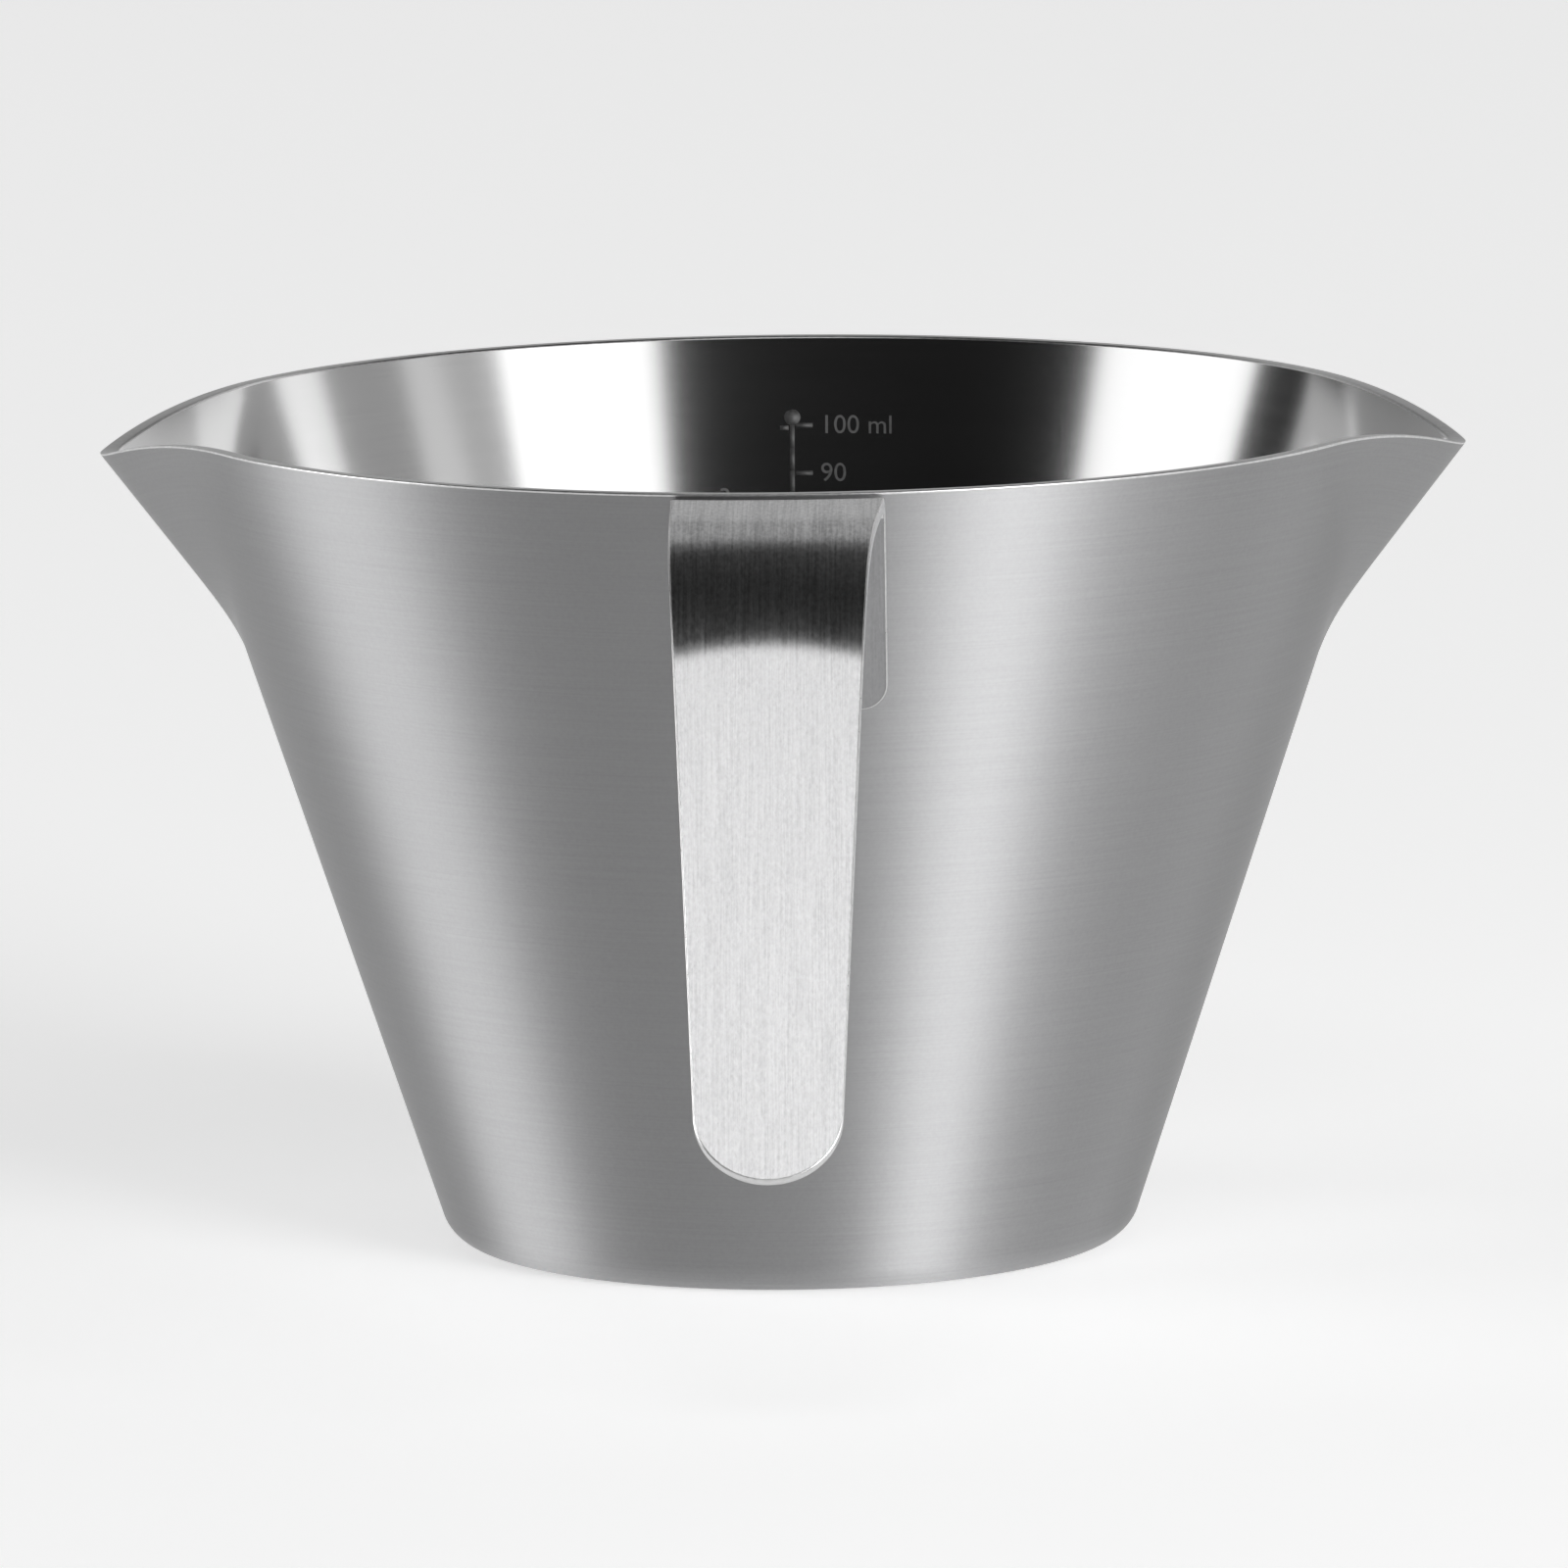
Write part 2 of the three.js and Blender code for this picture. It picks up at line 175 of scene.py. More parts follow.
def lip_ramp(slant):
    """Rises in a straight line above the lip's root, with a soft start."""
    return LIP_ROOT_SOFTNESS * np.log1p(np.exp((slant - ROOT_SLANT) / LIP_ROOT_SOFTNESS))


def lip_depth(angle, slant):
    """How far the pressing moves the wall outwards at these angles and distances up the wall."""
    turned = np.abs(np.arctan2(np.sin(angle), np.cos(angle)))
    off_lip = np.minimum(turned, math.pi - turned)
    ramp = lip_ramp(slant)
    half_width = LIP_HALF_WIDTH * (ramp / lip_ramp(RIM_SLANT)) ** LIP_WIDENING
    across = np.hypot(off_lip / half_width, LIP_NOSE)
    share = np.clip((1 - across) / (1 - LIP_NOSE), 0, None) ** 2
    return (math.sin(LIP_ANGLE) - math.sin(WALL_ANGLE)) * ramp * share


def outer_wall(angles, slants):
    """Points of the wall's outside, as an array of rows by angles by xyz. A lip doesn't stretch the
    sheet upwards, so the height is summed along the sheet."""
    fine = np.linspace(PLAIN_SLANT, RIM_SLANT, FINE_ROWS)
    radius = FOOT_RADIUS + fine[:, None] * math.sin(WALL_ANGLE) + lip_depth(angles[None], fine[:, None])
    rise = np.sqrt(np.diff(fine)[:, None] ** 2 - np.diff(radius, axis=0) ** 2)
    start = np.full((1, len(angles)), PLAIN_SLANT * math.cos(WALL_ANGLE))
    height = np.concatenate([start, start + np.cumsum(rise, axis=0)])
    rows = []
    for slant in slants:
        if slant <= PLAIN_SLANT:
            r = np.full(len(angles), FOOT_RADIUS + slant * math.sin(WALL_ANGLE))
            z = np.full(len(angles), slant * math.cos(WALL_ANGLE))
        else:
            place = (slant - PLAIN_SLANT) / (RIM_SLANT - PLAIN_SLANT) * (FINE_ROWS - 1)
            low = min(int(place), FINE_ROWS - 2)
            part = place - low
            r = radius[low] * (1 - part) + radius[low + 1] * part
            z = height[low] * (1 - part) + height[low + 1] * part
        rows.append(np.stack([r * np.cos(angles), r * np.sin(angles), z], axis=-1))
    return np.array(rows)


def inner_wall(outer):
    """The wall's inside, at the same heights, one sheet thickness in along the surface's normal."""
    up = np.gradient(outer, axis=0)
    around = np.roll(outer, -1, axis=1) - np.roll(outer, 1, axis=1)
    normal = np.cross(around, up)
    normal /= np.linalg.norm(normal, axis=-1, keepdims=True)
    flat = normal * np.array([1, 1, 0])
    return outer - SHEET * flat / np.sum(flat ** 2, axis=-1, keepdims=True)


def level_ring(angles, radius, height):
    return np.stack([radius * np.cos(angles), radius * np.sin(angles), np.full(len(angles), height)], axis=-1)


def corner_rings(angles, radius):
    """Rings round the base corner, from the floor to the wall."""
    return [level_ring(angles, CORNER_CENTRE + radius * math.cos(turn), BASE_CORNER + radius * math.sin(turn))
            for turn in np.linspace(-HALF_PI, -WALL_ANGLE, CORNER_RINGS)]


def floor_rings(angles, height):
    """Rings of the flat floor, from its middle to the corner."""
    return [level_ring(angles, radius, height)
            for radius in CORNER_CENTRE * np.linspace(*FLOOR_SPREAD, FLOOR_RINGS)]


def rounded_edge(before, edge, after, radius):
    """Rings that round off an edge ring between the ring before it and the ring after it."""

    def towards(ring):
        way = ring - edge
        return way / np.linalg.norm(way, axis=-1, keepdims=True) * radius

    start = towards(before)
    end = towards(after)
    return [edge + start * (1 - t) ** 2 + end * t ** 2 for t in np.linspace(0, 1, RIM_EDGE_RINGS)]


def cup_rings():
    """The cup's surface as rings, from the middle of its underside over the rim to the middle of its
    floor, and the material slot of the band after each ring."""
    angles = np.linspace(0, 2 * math.pi, AROUND, endpoint=False)
    slants = np.concatenate([
        np.linspace(WALL_START, PLAIN_SLANT, PLAIN_ROWS, endpoint=False),
        np.linspace(PLAIN_SLANT, RIM_SLANT - 2 * RIM_EDGE, LIP_ROWS),
        [RIM_SLANT - RIM_EDGE - EDGE_LOOP, RIM_SLANT],
    ])
    outer = outer_wall(angles, slants)
    inner = inner_wall(outer)
    rim_rings = (rounded_edge(outer[-2], outer[-1], inner[-1], RIM_EDGE)
                 + rounded_edge(outer[-1], inner[-1], inner[-2], RIM_EDGE))
    under = floor_rings(angles, 0.0) + corner_rings(angles, BASE_CORNER) + list(outer[:-1])
    within = floor_rings(angles, SHEET) + corner_rings(angles, BASE_CORNER - SHEET) + list(inner[:-1])
    rings = np.array(under + rim_rings + within[::-1])
    bands = [OUTSIDE] * (len(under) - 1) + [RIM] * len(rim_rings) + [INSIDE] * len(within)
    return rings, bands


def build_cup(outside, inside, rim):
    rings, bands = cup_rings()
    points = np.concatenate([[[0, 0, 0]], rings.reshape(-1, 3), [[0, 0, SHEET]]])
    last = len(points) - 1
    neighbours = [(i, (i + 1) % AROUND) for i in range(AROUND)]
    faces = [(0, 1 + j, 1 + i) for i, j in neighbours]
    slots = [OUTSIDE] * AROUND
    for row, slot in enumerate(bands):
        low = 1 + row * AROUND
        high = low + AROUND
        faces += [(low + i, low + j, high + j, high + i) for i, j in neighbours]
        slots += [slot] * AROUND
    base = last - AROUND
    faces += [(base + i, base + j, last) for i, j in neighbours]
    slots += [INSIDE] * AROUND
    return make_object("cup_shell", points, faces, [outside, inside, rim], slots)


# ---- the handle ----------------------------------------------------------------------------------

def strip_path():
    """The strip's middle line in the plane x = 0: distance from the fold, outward distance, height
    and heading, in fine steps from the tab's lower end to the tip."""
    tab_heading = HALF_PI - WALL_ANGLE
    lengths = (TAB_LENGTH, FOLD_RADIUS * FOLD_TURN, RUN_LENGTH, ELBOW_RADIUS * ELBOW_TURN, TAIL_LENGTH)
    turns = (0, FOLD_TURN, 0, ELBOW_TURN, 0)
    rise = FOLD_RADIUS * (1 - math.cos(tab_heading)) + STRIP / 2
    height = CUP_HEIGHT - FOLD_DROP - rise - TAB_LENGTH * math.sin(tab_heading)
    out = FOOT_RADIUS + height * math.tan(WALL_ANGLE) + (TAB_GAP + STRIP / 2) / math.cos(WALL_ANGLE)
    heading = tab_heading
    travelled = -TAB_LENGTH
    path = [(travelled, out, height, heading)]
    for length, turn, steps in zip(lengths, turns, PATH_STEPS):
        stride = length / steps
        for _ in range(steps):
            middle = heading - turn / steps / 2
            out += stride * math.cos(middle)
            height += stride * math.sin(middle)
            heading -= turn / steps
            travelled += stride
            path.append((travelled, out, height, heading))
    return np.array(path)


def strip_rows(path, inset):
    """Rows along the strip, as (travelled, half width), with the outline moved in by `inset`."""
    first, last = path[0, 0], path[-1, 0]
    tip_centre = last - TAIL_END_LENGTH

    def half_width(travelled):
        return (STRIP_WIDTH - STRIP_TAPER * max(0.0, travelled)) / 2

    rows = []
    reach = TAB_CORNER - inset
    for turn in np.linspace(0, HALF_PI, TAB_CORNER_ROWS, endpoint=False):
        rows.append((first + TAB_CORNER - reach * math.cos(turn),
                     half_width(first) - TAB_CORNER + reach * math.sin(turn)))
    for travelled in np.linspace(first + TAB_CORNER, tip_centre, STRIP_ROWS):
        rows.append((travelled, half_width(travelled) - inset))
    reach = TAIL_END_LENGTH - inset
    tip = half_width(tip_centre) - inset
    for turn in np.linspace(0, HALF_PI * TIP_SWEEP, TIP_ROWS)[1:]:
        rows.append((tip_centre + reach * math.sin(turn), tip * math.cos(turn)))
    return rows


def on_path(path, travelled):
    """Distance out, height and heading of the middle line."""
    return [float(np.interp(travelled, path[:, 0], path[:, i])) for i in (1, 2, 3)]


def crowned(path, x, travelled):
    """Distance out, height and heading of the strip's middle surface. Away from its middle line the
    elbow is softer, between the same run and tail."""
    grow = ELBOW_CROWN * (2 * x / STRIP_WIDTH) ** 2
    reach = grow * math.tan(ELBOW_TURN / 2)
    share = (travelled - ELBOW_START + reach) / (ELBOW_RADIUS * ELBOW_TURN + 2 * reach)
    if not 0 < share < 1:
        return on_path(path, travelled)
    radius = ELBOW_RADIUS + grow
    heading = -RUN_SLOPE - share * ELBOW_TURN
    out, height, _ = on_path(path, ELBOW_START - reach)
    out += radius * (math.sin(-heading) - math.sin(RUN_SLOPE))
    height -= radius * (math.cos(RUN_SLOPE) - math.cos(heading))
    return out, height, heading


def bend(path, x, travelled, lift):
    """Where a point of the flat strip goes: x across, `travelled` along, `lift` off the middle."""
    out, height, heading = crowned(path, x, travelled)
    gone = min(max(travelled / TAB_FADE, 0.0), 1.0)
    tab_share = 1 - gone * gone * (3 - 2 * gone)
    x += TAB_OFFSET * tab_share
    sag = tab_share * (out - math.sqrt(out * out - x * x))
    return (x, -(out - sag - lift * math.sin(heading)), height + lift * math.cos(heading))


def column_shares(half):
    """Where the inner columns of a row lie, from -1 to 1 across it."""
    beside_edge = min(EDGE_LOOP / half, EDGE_LOOP_MOST)
    evenly = np.linspace(-1, 1, STRIP_COLUMNS - 1)[1:-1]
    return np.concatenate([[beside_edge - 1], evenly, [1 - beside_edge]])


def edge_levels():
    """Levels round the strip's cut edge, from its outer face to its inner one: how far the outline
    moves in, and the height above the middle surface."""
    levels = []
    for turn in np.linspace(0, math.pi, STRIP_EDGE_LEVELS):
        side = 1 if turn <= HALF_PI else -1
        inset = STRIP_EDGE * (1 - math.sin(turn))
        levels.append((inset, side * (STRIP / 2 - STRIP_EDGE) + STRIP_EDGE * math.cos(turn)))
    return levels


def outline_points(path, rows, lift):
    """The strip's outline at one level: up its left side, down its right and back along the tab's end."""
    start, half_start = rows[0]
    return ([bend(path, -half, travelled, lift) for travelled, half in rows]
            + [bend(path, half, travelled, lift) for travelled, half in rows[::-1]]
            + [bend(path, half_start * share, start, lift) for share in column_shares(half_start)[::-1]])


def face_grid(path, rows, lift, outline, points):
    """Rows of point numbers over one face. It adds the points inside the outline to `points`."""
    count = len(rows)
    grid = [[outline[0]] + outline[2 * count:][::-1] + [outline[2 * count - 1]]]
    for k, (travelled, half) in enumerate(rows[1:], 1):
        shares = column_shares(half)
        middle = range(len(points), len(points) + len(shares))
        points.extend(bend(path, half * share, travelled, lift) for share in shares)
        grid.append([outline[k], *middle, outline[2 * count - 1 - k]])
    return grid


def build_strap(grip, tab, edge):
    path = strip_path()
    levels = edge_levels()
    points = []
    outlines = []
    for inset, lift in levels:
        outline = outline_points(path, strip_rows(path, inset), lift)
        outlines.append(list(range(len(points), len(points) + len(outline))))
        points.extend(outline)
    faces = []
    slots = []
    for upper, lower in zip(outlines, outlines[1:]):
        for i in range(len(upper)):
            j = (i + 1) % len(upper)
            faces.append((upper[i], lower[i], lower[j], upper[j]))
            slots.append(CUT_EDGE)
    for level, is_outer in ((0, True), (-1, False)):
        inset, lift = levels[level]
        rows = strip_rows(path, inset)
        grid = face_grid(path, rows, lift, outlines[level], points)
        for (travelled, _), low, high in zip(rows, grid, grid[1:]):
            for i in range(STRIP_COLUMNS):
                quad = (low[i], low[i + 1], high[i + 1], high[i])
                faces.append(quad if is_outer else quad[::-1])
                # the tab's faces take the darker tab material, which paints the shade behind the strip
                slots.append(TAB if travelled < 0 else GRIP)
    return make_object("strap_grip", points, faces, [grip, tab, edge], slots)


# ---- spot welds ----------------------------------------------------------------------------------

def wall_frame(angle, slant):
    """A point of the wall's outside with its outward normal, level tangent and upward tangent."""
    normal = Vector((math.cos(angle) * math.cos(WALL_ANGLE), math.sin(angle) * math.cos(WALL_ANGLE),
                     -math.sin(WALL_ANGLE)))
    level = Vector((-math.sin(angle), math.cos(angle), 0))
    r = FOOT_RADIUS + slant * math.sin(WALL_ANGLE)
    place = Vector((r * math.cos(angle), r * math.sin(angle), slant * math.cos(WALL_ANGLE)))
    return place, normal, level, normal.cross(level)


def build_weld(index, row, side, material):
    """A weld's dished face with its raised ring, on the outside of the tab."""
    angle = -HALF_PI + (side * WELD_SPREAD + TAB_OFFSET) / RIM_RADIUS
    place, normal, level, upward = wall_frame(angle, RIM_SLANT - row)
    place += normal * (TAB_GAP + STRIP)
    rings = [*WELD_PROFILE[1:], (1.0, -WELD_DEPTH)]
    points = [place + normal * WELD_PROFILE[0][1]]
    for share, off in rings:
        for i in range(WELD_SIDES):
            turn = 2 * math.pi * i / WELD_SIDES
            spoke = level * math.cos(turn) + upward * math.sin(turn)
            points.append(place + normal * off + spoke * WELD_RADIUS * share)
    points.append(place - normal * WELD_DEPTH)
    last = len(points) - 1
    faces = []
    for i in range(WELD_SIDES):
        j = (i + 1) % WELD_SIDES
        faces.append((0, 1 + i, 1 + j))
        for ring in range(len(rings) - 1):
            base = 1 + ring * WELD_SIDES
            faces.append((base + i, base + WELD_SIDES + i, base + WELD_SIDES + j, base + j))
        base = last - WELD_SIDES
        faces.append((base + i, last, base + j))
    return make_object("weld_face_%d" % index, points, faces, [material])


# ---- engraved scale ------------------------------------------------------------------------------

def slant_of_volume(millilitres):
    """How far up the sloping wall the surface of that much liquid stands, measured from z = 0."""
    inner_foot = FOOT_RADIUS - SHEET / math.cos(WALL_ANGLE)
    height = SHEET
    volume = 0.0
    while volume < millilitres * CUBIC_METRES_PER_ML:
        r = inner_foot + height * math.tan(WALL_ANGLE)
        volume += math.pi * r * r * VOLUME_STEP
        height += VOLUME_STEP
    return height / math.cos(WALL_ANGLE)


def on_far_wall(sideways, slant, off):
    """A point on the inside of the wall opposite the handle, `sideways` towards +X of its middle."""
    r = FOOT_RADIUS + slant * math.sin(WALL_ANGLE) - SHEET / math.cos(WALL_ANGLE)
    angle = HALF_PI - sideways / r
    flat = r - off * math.cos(WALL_ANGLE)
    return (flat * math.cos(angle), flat * math.sin(angle),
            slant * math.cos(WALL_ANGLE) + off * math.sin(WALL_ANGLE))


def add_plate(points, faces, outline):
    """A thin closed plate on the wall, from its outline as (sideways, slant) pairs, anticlockwise."""
    start = len(points)
    count = len(outline)
    for off in (-ENGRAVING_RISE, ENGRAVING_RISE):
        points.extend(on_far_wall(sideways, slant, off) for sideways, slant in outline)
    faces.append(tuple(start + count + i for i in range(count)))
    faces.append(tuple(start + i for i in reversed(range(count))))
    for i in range(count):
        j = (i + 1) % count
        faces.append((start + i, start + j, start + count + j, start + count + i))


def bar_outline(left, right, low, high):
    return [(left, low), (right, low), (right, high), (left, high)]


def add_figures(points, faces, text, sideways, slant, align):
    """Figures in Blender's own plain font, laid on the wall as thin closed solids."""
    curve = bpy.data.curves.new("figures", "FONT")
    curve.body = text
    curve.size = FIGURE_HEIGHT / CAP_SHARE
    curve.align_x = align
    curve.align_y = "CENTER"
    curve.extrude = ENGRAVING_RISE
    curve.resolution_u = FIGURE_SMOOTHNESS
    holder = bpy.data.objects.new("figures", curve)
    bpy.context.scene.collection.objects.link(holder)
    bpy.context.view_layer.update()
    mesh = bpy.data.meshes.new_from_object(holder.evaluated_get(bpy.context.evaluated_depsgraph_get()))
    start = len(points)
    for vertex in mesh.vertices:
        x, y, z = vertex.co
        points.append(on_far_wall(sideways + x, slant + y, z))
    for polygon in mesh.polygons:
        faces.append(tuple(start + i for i in polygon.vertices))
    bpy.data.objects.remove(holder)
    bpy.data.curves.remove(curve)
    bpy.data.meshes.remove(mesh)


def build_scale(material):
    """A line up the far wall with a dot at its top, millilitres on its right and ounces on its left."""
    points = []
    faces = []
    half = TICK_WIDTH / 2
    top = slant_of_volume(ML_MARKS[0])
    bottom = slant_of_volume(ML_MARKS[-1]) - LINE_TAIL
    stops = np.linspace(bottom, top, LINE_PIECES + 1)
    for low, high in zip(stops, stops[1:]):
        add_plate(points, faces, bar_outline(-half, half, low, high))
    turns = np.linspace(0, 2 * math.pi, DOT_SIDES, endpoint=False)
    middle = top + DOT_RADIUS
    add_plate(points, faces, [(DOT_RADIUS * math.cos(t), middle + DOT_RADIUS * math.sin(t)) for t in turns])

    def mark(slant, side, has_figure, text):
        """One tick, on the right of the line for side 1 and on its left for side -1."""
        end = TICK_ENDS[0] if has_figure else TICK_ENDS[1]
        left, right = sorted((side * TICK_START, side * end))
        add_plate(points, faces, bar_outline(left, right, slant - half, slant + half))
        if has_figure:
            add_figures(points, faces, text, side * FIGURE_START, slant, "LEFT" if side > 0 else "RIGHT")

    for amount in ML_MARKS:
        text = "%d ml" % amount if amount == ML_WITH_UNIT else "%d" % amount
        mark(slant_of_volume(amount), 1, amount in ML_FIGURES, text)
    for amount in OZ_MARKS:
        text = "%d oz" % amount if amount == OZ_WITH_UNIT else "%d" % amount
        mark(slant_of_volume(amount * ML_PER_OZ), -1, amount in OZ_FIGURES, text)
    return make_object("volume_scale", points, faces, [material])


# ---- materials -----------------------------------------------------------------------------------

QUARTER_TURN = 0.25                 # of a full turn: brushed lines spread a reflection across themselves
BUMP_DISTANCE = 0.02 * MM
FLOOR_LINES = 0.4                   # keeps circles apart on the flat floor, where the wall's share is small
LINE_SHARE, BROAD_SHARE, GRAIN_SHARE = 0.5, 0.1, 0.4
NOISE_SPAN = (0.3, 0.7)             # the values that most of a noise lies between
STRIP_SPAN = (0.38, 0.62)
CUP_LINE_NOISE = (3.0, 0.6)         # detail and roughness of a noise
STRIP_LINE_NOISE = (3.0, 0.65)
GRAIN_NOISE = (2.0, 0.6)
CLOUD_SWING = 0.01                  # how much the roughness wanders over the cup

# how often each noise changes, per metre along x, y and z
LINES_AROUND = 90                   # along a line, both for x and for y
BROAD_AROUND = 40
BROAD_ACROSS = 0.25                 # of the fine lines' own rate
CUP_GRAIN = (4500, 4500, 4500)
CUP_CLOUD = (60, 60, 90)
STRIP_LINES = (7000, 150, 150)
STRIP_BROAD = (900, 40, 40)
STRIP_GRAIN = (5000, 2500, 2500)
TABLE_CLOUD = (3, 3, 3)


class Nodes:
    """One material, with short calls for making and joining its shader nodes."""

    def __init__(self, name):
        self.material = bpy.data.materials.new(name)
        self.material.use_nodes = True
        self.tree = self.material.node_tree
        self.shader = self.tree.nodes["Principled BSDF"]

    def add(self, kind, **settings):
        node = self.tree.nodes.new(kind)
        for key, value in settings.items():
            setattr(node, key, value)
        return node

    def join(self, source, target):
        self.tree.links.new(source, target)

    def math(self, operation, first, second=None):
        node = self.add("ShaderNodeMath", operation=operation)
        for socket, value in zip(node.inputs, (first, second)):
            if isinstance(value, (int, float)):
                socket.default_value = value
            elif value is not None:
                self.join(value, socket)
        return node.outputs[0]

    def stretched(self, x, y, z, scales):
        """A place to read a noise at, scaled by its own amount along each axis."""
        node = self.add("ShaderNodeCombineXYZ")
        for socket, value, scale in zip(node.inputs, (x, y, z), scales):
            self.join(self.math("MULTIPLY", value, scale), socket)
        return node.outputs[0]

    def mixed(self, *shares):
        """The sum of these values, each with its share of the whole."""
        total = 0.0
        for value, share in shares:
            total = self.math("ADD", self.math("MULTIPLY", value, share), total)
        return total

    def noise(self, vector, detail=2.0, roughness=0.5):
        node = self.add("ShaderNodeTexNoise")
        node.inputs["Scale"].default_value = 1.0
        node.inputs["Detail"].default_value = detail
        node.inputs["Roughness"].default_value = roughness
        self.join(vector, node.inputs["Vector"])
        return node.outputs["Fac"]

    def ramp(self, value, low, high, start=0.0, end=1.0):
        """`low` where the value is at most `start`, rising to `high` where it is at least `end`."""
        node = self.add("ShaderNodeMapRange")
        node.inputs["From Min"].default_value = start
        node.inputs["From Max"].default_value = end
        node.inputs["To Min"].default_value = low
        node.inputs["To Max"].default_value = high
        self.join(value, node.inputs["Value"])
        return node.outputs["Result"]

    def shade(self, dark, light, value):
        """A colour between dark, at 0, and light, at 1."""
        node = self.add("ShaderNodeMix", data_type="RGBA")
        node.inputs["A"].default_value = (*dark, 1)
        node.inputs["B"].default_value = (*light, 1)
        self.join(value, node.inputs["Factor"])
        return [s for s in node.outputs if s.type == "RGBA"][0]

    def bump(self, height, strength):
        node = self.add("ShaderNodeBump")
        node.inputs["Strength"].default_value = strength
        node.inputs["Distance"].default_value = BUMP_DISTANCE
        self.join(height, node.inputs["Height"])
        self.feed("Normal", node.outputs["Normal"])

    def feed(self, socket, value):
        self.join(value, self.shader.inputs[socket])

    def brush(self, anisotropy, turn, axis):
        """Bare metal whose reflections are spread by lines that run around this axis."""
        self.shader.inputs["Metallic"].default_value = 1.0
        self.shader.inputs["Anisotropic"].default_value = anisotropy
        self.shader.inputs["Anisotropic Rotation"].default_value = turn
        tangent = self.add("ShaderNodeTangent", direction_type="RADIAL", axis=axis)
        self.feed("Tangent", tangent.outputs[0])


def object_xyz(nodes):
    coordinates = nodes.add("ShaderNodeTexCoord")
    split = nodes.add("ShaderNodeSeparateXYZ")
    nodes.join(coordinates.outputs["Object"], split.inputs[0])
    return split.outputs


def brushed_around(name, dark, light, rough, anisotropy, turn, bump, line_scale):
    """Steel brushed around the cup. The lines follow circles about the axis, on the wall as on the
    floor, so they vary with the distance along the wall's meridian."""
    nodes = Nodes(name)
    x, y, z = object_xyz(nodes)
    radius = nodes.math("SQRT", nodes.math("ADD", nodes.math("MULTIPLY", x, x), nodes.math("MULTIPLY", y, y)))
    along = nodes.math("ADD", nodes.math("MULTIPLY", z, math.cos(WALL_ANGLE)),
                       nodes.math("MULTIPLY", radius, math.sin(WALL_ANGLE) + FLOOR_LINES))
    lines = nodes.noise(nodes.stretched(x, y, along, (LINES_AROUND, LINES_AROUND, line_scale)),
                        *CUP_LINE_NOISE)
    broad = nodes.noise(nodes.stretched(x, y, along, (BROAD_AROUND, BROAD_AROUND, line_scale * BROAD_ACROSS)))
    cloud = nodes.noise(nodes.stretched(x, y, z, CUP_CLOUD))
    grain = nodes.noise(nodes.stretched(x, y, z, CUP_GRAIN), *GRAIN_NOISE)
    mixed = nodes.mixed((lines, LINE_SHARE), (broad, BROAD_SHARE), (grain, GRAIN_SHARE))
    nodes.feed("Base Color", nodes.shade(dark, light, nodes.ramp(mixed, 0, 1, *NOISE_SPAN)))
    wander = nodes.ramp(cloud, -CLOUD_SWING, CLOUD_SWING)
    nodes.feed("Roughness", nodes.math("ADD", nodes.ramp(mixed, *rough, *NOISE_SPAN), wander))
    nodes.bump(lines, bump)
    nodes.brush(anisotropy, turn, "Z")
    return nodes.material


def brushed_along(name, dark, light, rough, anisotropy, bump):
    """Steel brushed along the strip: the lines lie in planes of constant x."""
    nodes = Nodes(name)
    x, y, z = object_xyz(nodes)
    lines = nodes.noise(nodes.stretched(x, y, z, STRIP_LINES), *STRIP_LINE_NOISE)
    broad = nodes.noise(nodes.stretched(x, y, z, STRIP_BROAD))
    grain = nodes.noise(nodes.stretched(x, y, z, STRIP_GRAIN), *GRAIN_NOISE)
    mixed = nodes.mixed((lines, LINE_SHARE), (broad, BROAD_SHARE), (grain, GRAIN_SHARE))
    nodes.feed("Base Color", nodes.shade(dark, light, nodes.ramp(mixed, 0, 1, *STRIP_SPAN)))
    nodes.feed("Roughness", nodes.ramp(mixed, *rough, *STRIP_SPAN))
    nodes.bump(lines, bump)
    nodes.brush(anisotropy, QUARTER_TURN, "X")
    return nodes.material


def fine_metal(name, dark, light, rough, scale, bump):
    """Plain worked steel with a fine random grain, for edges, weld faces and engraved marks."""
    nodes = Nodes(name)
    x, y, z = object_xyz(nodes)
    grain = nodes.noise(nodes.stretched(x, y, z, (scale, scale, scale)))
    nodes.feed("Base Color", nodes.shade(dark, light, nodes.ramp(grain, 0, 1, *NOISE_SPAN)))
    nodes.feed("Roughness", nodes.ramp(grain, *rough, *NOISE_SPAN))
    nodes.bump(grain, bump)
    nodes.shader.inputs["Metallic"].default_value = 1.0
    return nodes.material


def floor_material():
    nodes = Nodes("pale_floor")
    x, y, z = object_xyz(nodes)
    cloud = nodes.noise(nodes.stretched(x, y, z, TABLE_CLOUD))
    nodes.feed("Base Color", nodes.shade(FLOOR_DARK, FLOOR_LIGHT, cloud))
    nodes.shader.inputs["Roughness"].default_value = FLOOR_ROUGHNESS
    nodes.shader.inputs["Specular IOR Level"].default_value = FLOOR_SPECULAR
    nodes.shader.inputs["Emission Color"].default_value = (1, 1, 1, 1)
    nodes.shader.inputs["Emission Strength"].default_value = TABLE_GLOW
    return nodes.material


# ---- stage: floor, light and camera --------------------------------------------------------------

FLOOR_DARK = (0.80, 0.80, 0.80)
FLOOR_LIGHT = (0.83, 0.83, 0.83)
FLOOR_SIZE = 6.0                    # metres
FLOOR_ROUGHNESS = 0.9
FLOOR_SPECULAR = 0.1
TABLE_GLOW = 0.48                   # the table is a pane of white glass lit from below
WORLD_STRENGTH = 0.01

